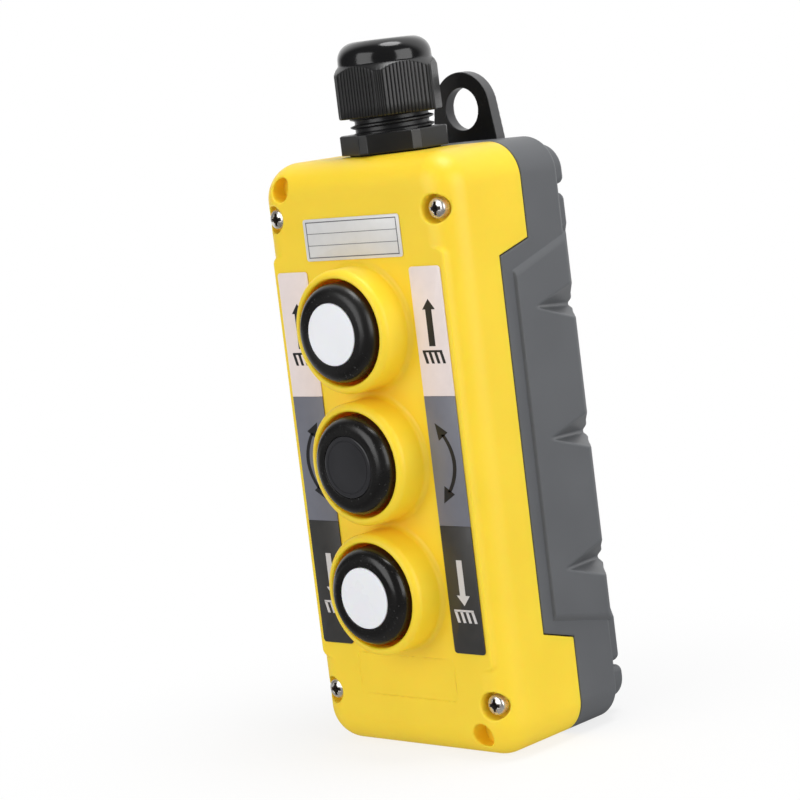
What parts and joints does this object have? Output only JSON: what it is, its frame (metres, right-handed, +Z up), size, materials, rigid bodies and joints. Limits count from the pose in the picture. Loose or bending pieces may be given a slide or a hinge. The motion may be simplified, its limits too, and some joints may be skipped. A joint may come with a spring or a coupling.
{
  "type": "pendant control station",
  "caption": "Hand-held hoist pendant in a two-part plastic enclosure with sprung push buttons, a cable gland on top and a hanging lug behind it.",
  "frame": {"origin": "on the bottom end face, in the middle of the width, 20 mm behind the front panel", "axes": "+Z up along the pendant towards the cable gland, +X to the operator's right, -Y towards the operator"},
  "size_m": [0.066, 0.0607, 0.1746],
  "materials": {
    "yellow_abs": "satin moulded, safety yellow",
    "grey_abs": "fine satin moulded, mid grey",
    "black_rubber": "matte seal rubber",
    "nickel_screw": "bright nickel-plated steel",
    "black_lug": "satin black coated plate",
    "silver_label": "matt silver foil label, blank",
    "legend_print": "printed film in three fields, pictograms only",
    "black_button": "satin black moulded",
    "white_disc": "satin white insert",
    "black_disc": "glossy black insert",
    "black_nylon": "moulded nylon",
    "contact_brass": "stamped brass strip",
    "phenolic_block": "moulded contact housing",
    "spring_steel": "drawn spring wire",
    "gland_nylon": "satin black nylon",
    "gland_nut_nylon": "black nylon, polished dome over a ribbed skirt"
  },
  "bodies": {
    "enclosure": {"front_cover": "yellow_abs", "rear_cover": "grey_abs", "cover_gasket": "black_rubber", "cover_screw_top_left": "nickel_screw", "cover_screw_top_right": "nickel_screw", "cover_screw_bottom_left": "nickel_screw", "cover_screw_bottom_right": "nickel_screw", "hanging_lug": "black_lug", "lug_screw_upper": "nickel_screw", "lug_screw_lower": "nickel_screw", "rating_plate": "silver_label", "legend_strip_left": "legend_print", "legend_strip_right": "legend_print", "button_seal_lower": "black_rubber", "contact_block_lower": "phenolic_block", "fixed_contact_lower_left": "contact_brass", "fixed_contact_lower_right": "contact_brass", "terminal_screw_lower_left": "nickel_screw", "terminal_screw_lower_right": "nickel_screw", "block_screw_lower_left": "nickel_screw", "block_screw_lower_right": "nickel_screw", "return_spring_lower": "spring_steel", "button_seal_middle": "black_rubber", "contact_block_middle": "phenolic_block", "fixed_contact_middle_left": "contact_brass", "fixed_contact_middle_right": "contact_brass", "terminal_screw_middle_left": "nickel_screw", "terminal_screw_middle_right": "nickel_screw", "block_screw_middle_left": "nickel_screw", "block_screw_middle_right": "nickel_screw", "return_spring_middle": "spring_steel", "button_seal_upper": "black_rubber", "contact_block_upper": "phenolic_block", "fixed_contact_upper_left": "contact_brass", "fixed_contact_upper_right": "contact_brass", "terminal_screw_upper_left": "nickel_screw", "terminal_screw_upper_right": "nickel_screw", "block_screw_upper_left": "nickel_screw", "block_screw_upper_right": "nickel_screw", "return_spring_upper": "spring_steel", "gland_washer": "black_rubber", "gland_body": "gland_nylon", "gland_locknut": "gland_nylon", "gland_seal_insert": "black_rubber"},
    "button_lower": {"button_cap_lower": "black_button", "button_disc_lower": "white_disc", "plunger_lower": "black_nylon", "contact_bridge_lower": "contact_brass"},
    "button_middle": {"button_cap_middle": "black_button", "button_disc_middle": "black_disc", "plunger_middle": "black_nylon", "contact_bridge_middle": "contact_brass"},
    "button_upper": {"button_cap_upper": "black_button", "button_disc_upper": "white_disc", "plunger_upper": "black_nylon", "contact_bridge_upper": "contact_brass"},
    "gland_thrust": {"gland_thrust_ring": "gland_nylon"},
    "gland_nut": {"gland_dome_nut": "gland_nut_nylon"}
  },
  "joints": [
    {"name": "press_lower", "type": "slide", "parent": "enclosure", "child": "button_lower", "axis": [0, 1, 0], "range_m": [0, 0.004], "stiffness_N_per_m": 400, "springref_m": -0.002, "deforming": ["return_spring_lower"]},
    {"name": "press_middle", "type": "slide", "parent": "enclosure", "child": "button_middle", "axis": [0, 1, 0], "range_m": [0, 0.004], "stiffness_N_per_m": 400, "springref_m": -0.002, "deforming": ["return_spring_middle"]},
    {"name": "press_upper", "type": "slide", "parent": "enclosure", "child": "button_upper", "axis": [0, 1, 0], "range_m": [0, 0.004], "stiffness_N_per_m": 400, "springref_m": -0.002, "deforming": ["return_spring_upper"]},
    {"name": "thrust_slide", "type": "slide", "parent": "enclosure", "child": "gland_thrust", "axis": [0, 0, 1], "range_m": [-0.0009, 0.003]},
    {"name": "nut_turn", "type": "hinge", "parent": "gland_thrust", "child": "gland_nut", "pos_m": [0, -0.0012, 0.1657], "axis": [0, 0, 1], "range_deg": [-164, 542]}
  ],
  "couplings": [
    {"joint": "nut_turn", "follows": "thrust_slide", "rad_per_m": 3141.6}
  ]
}
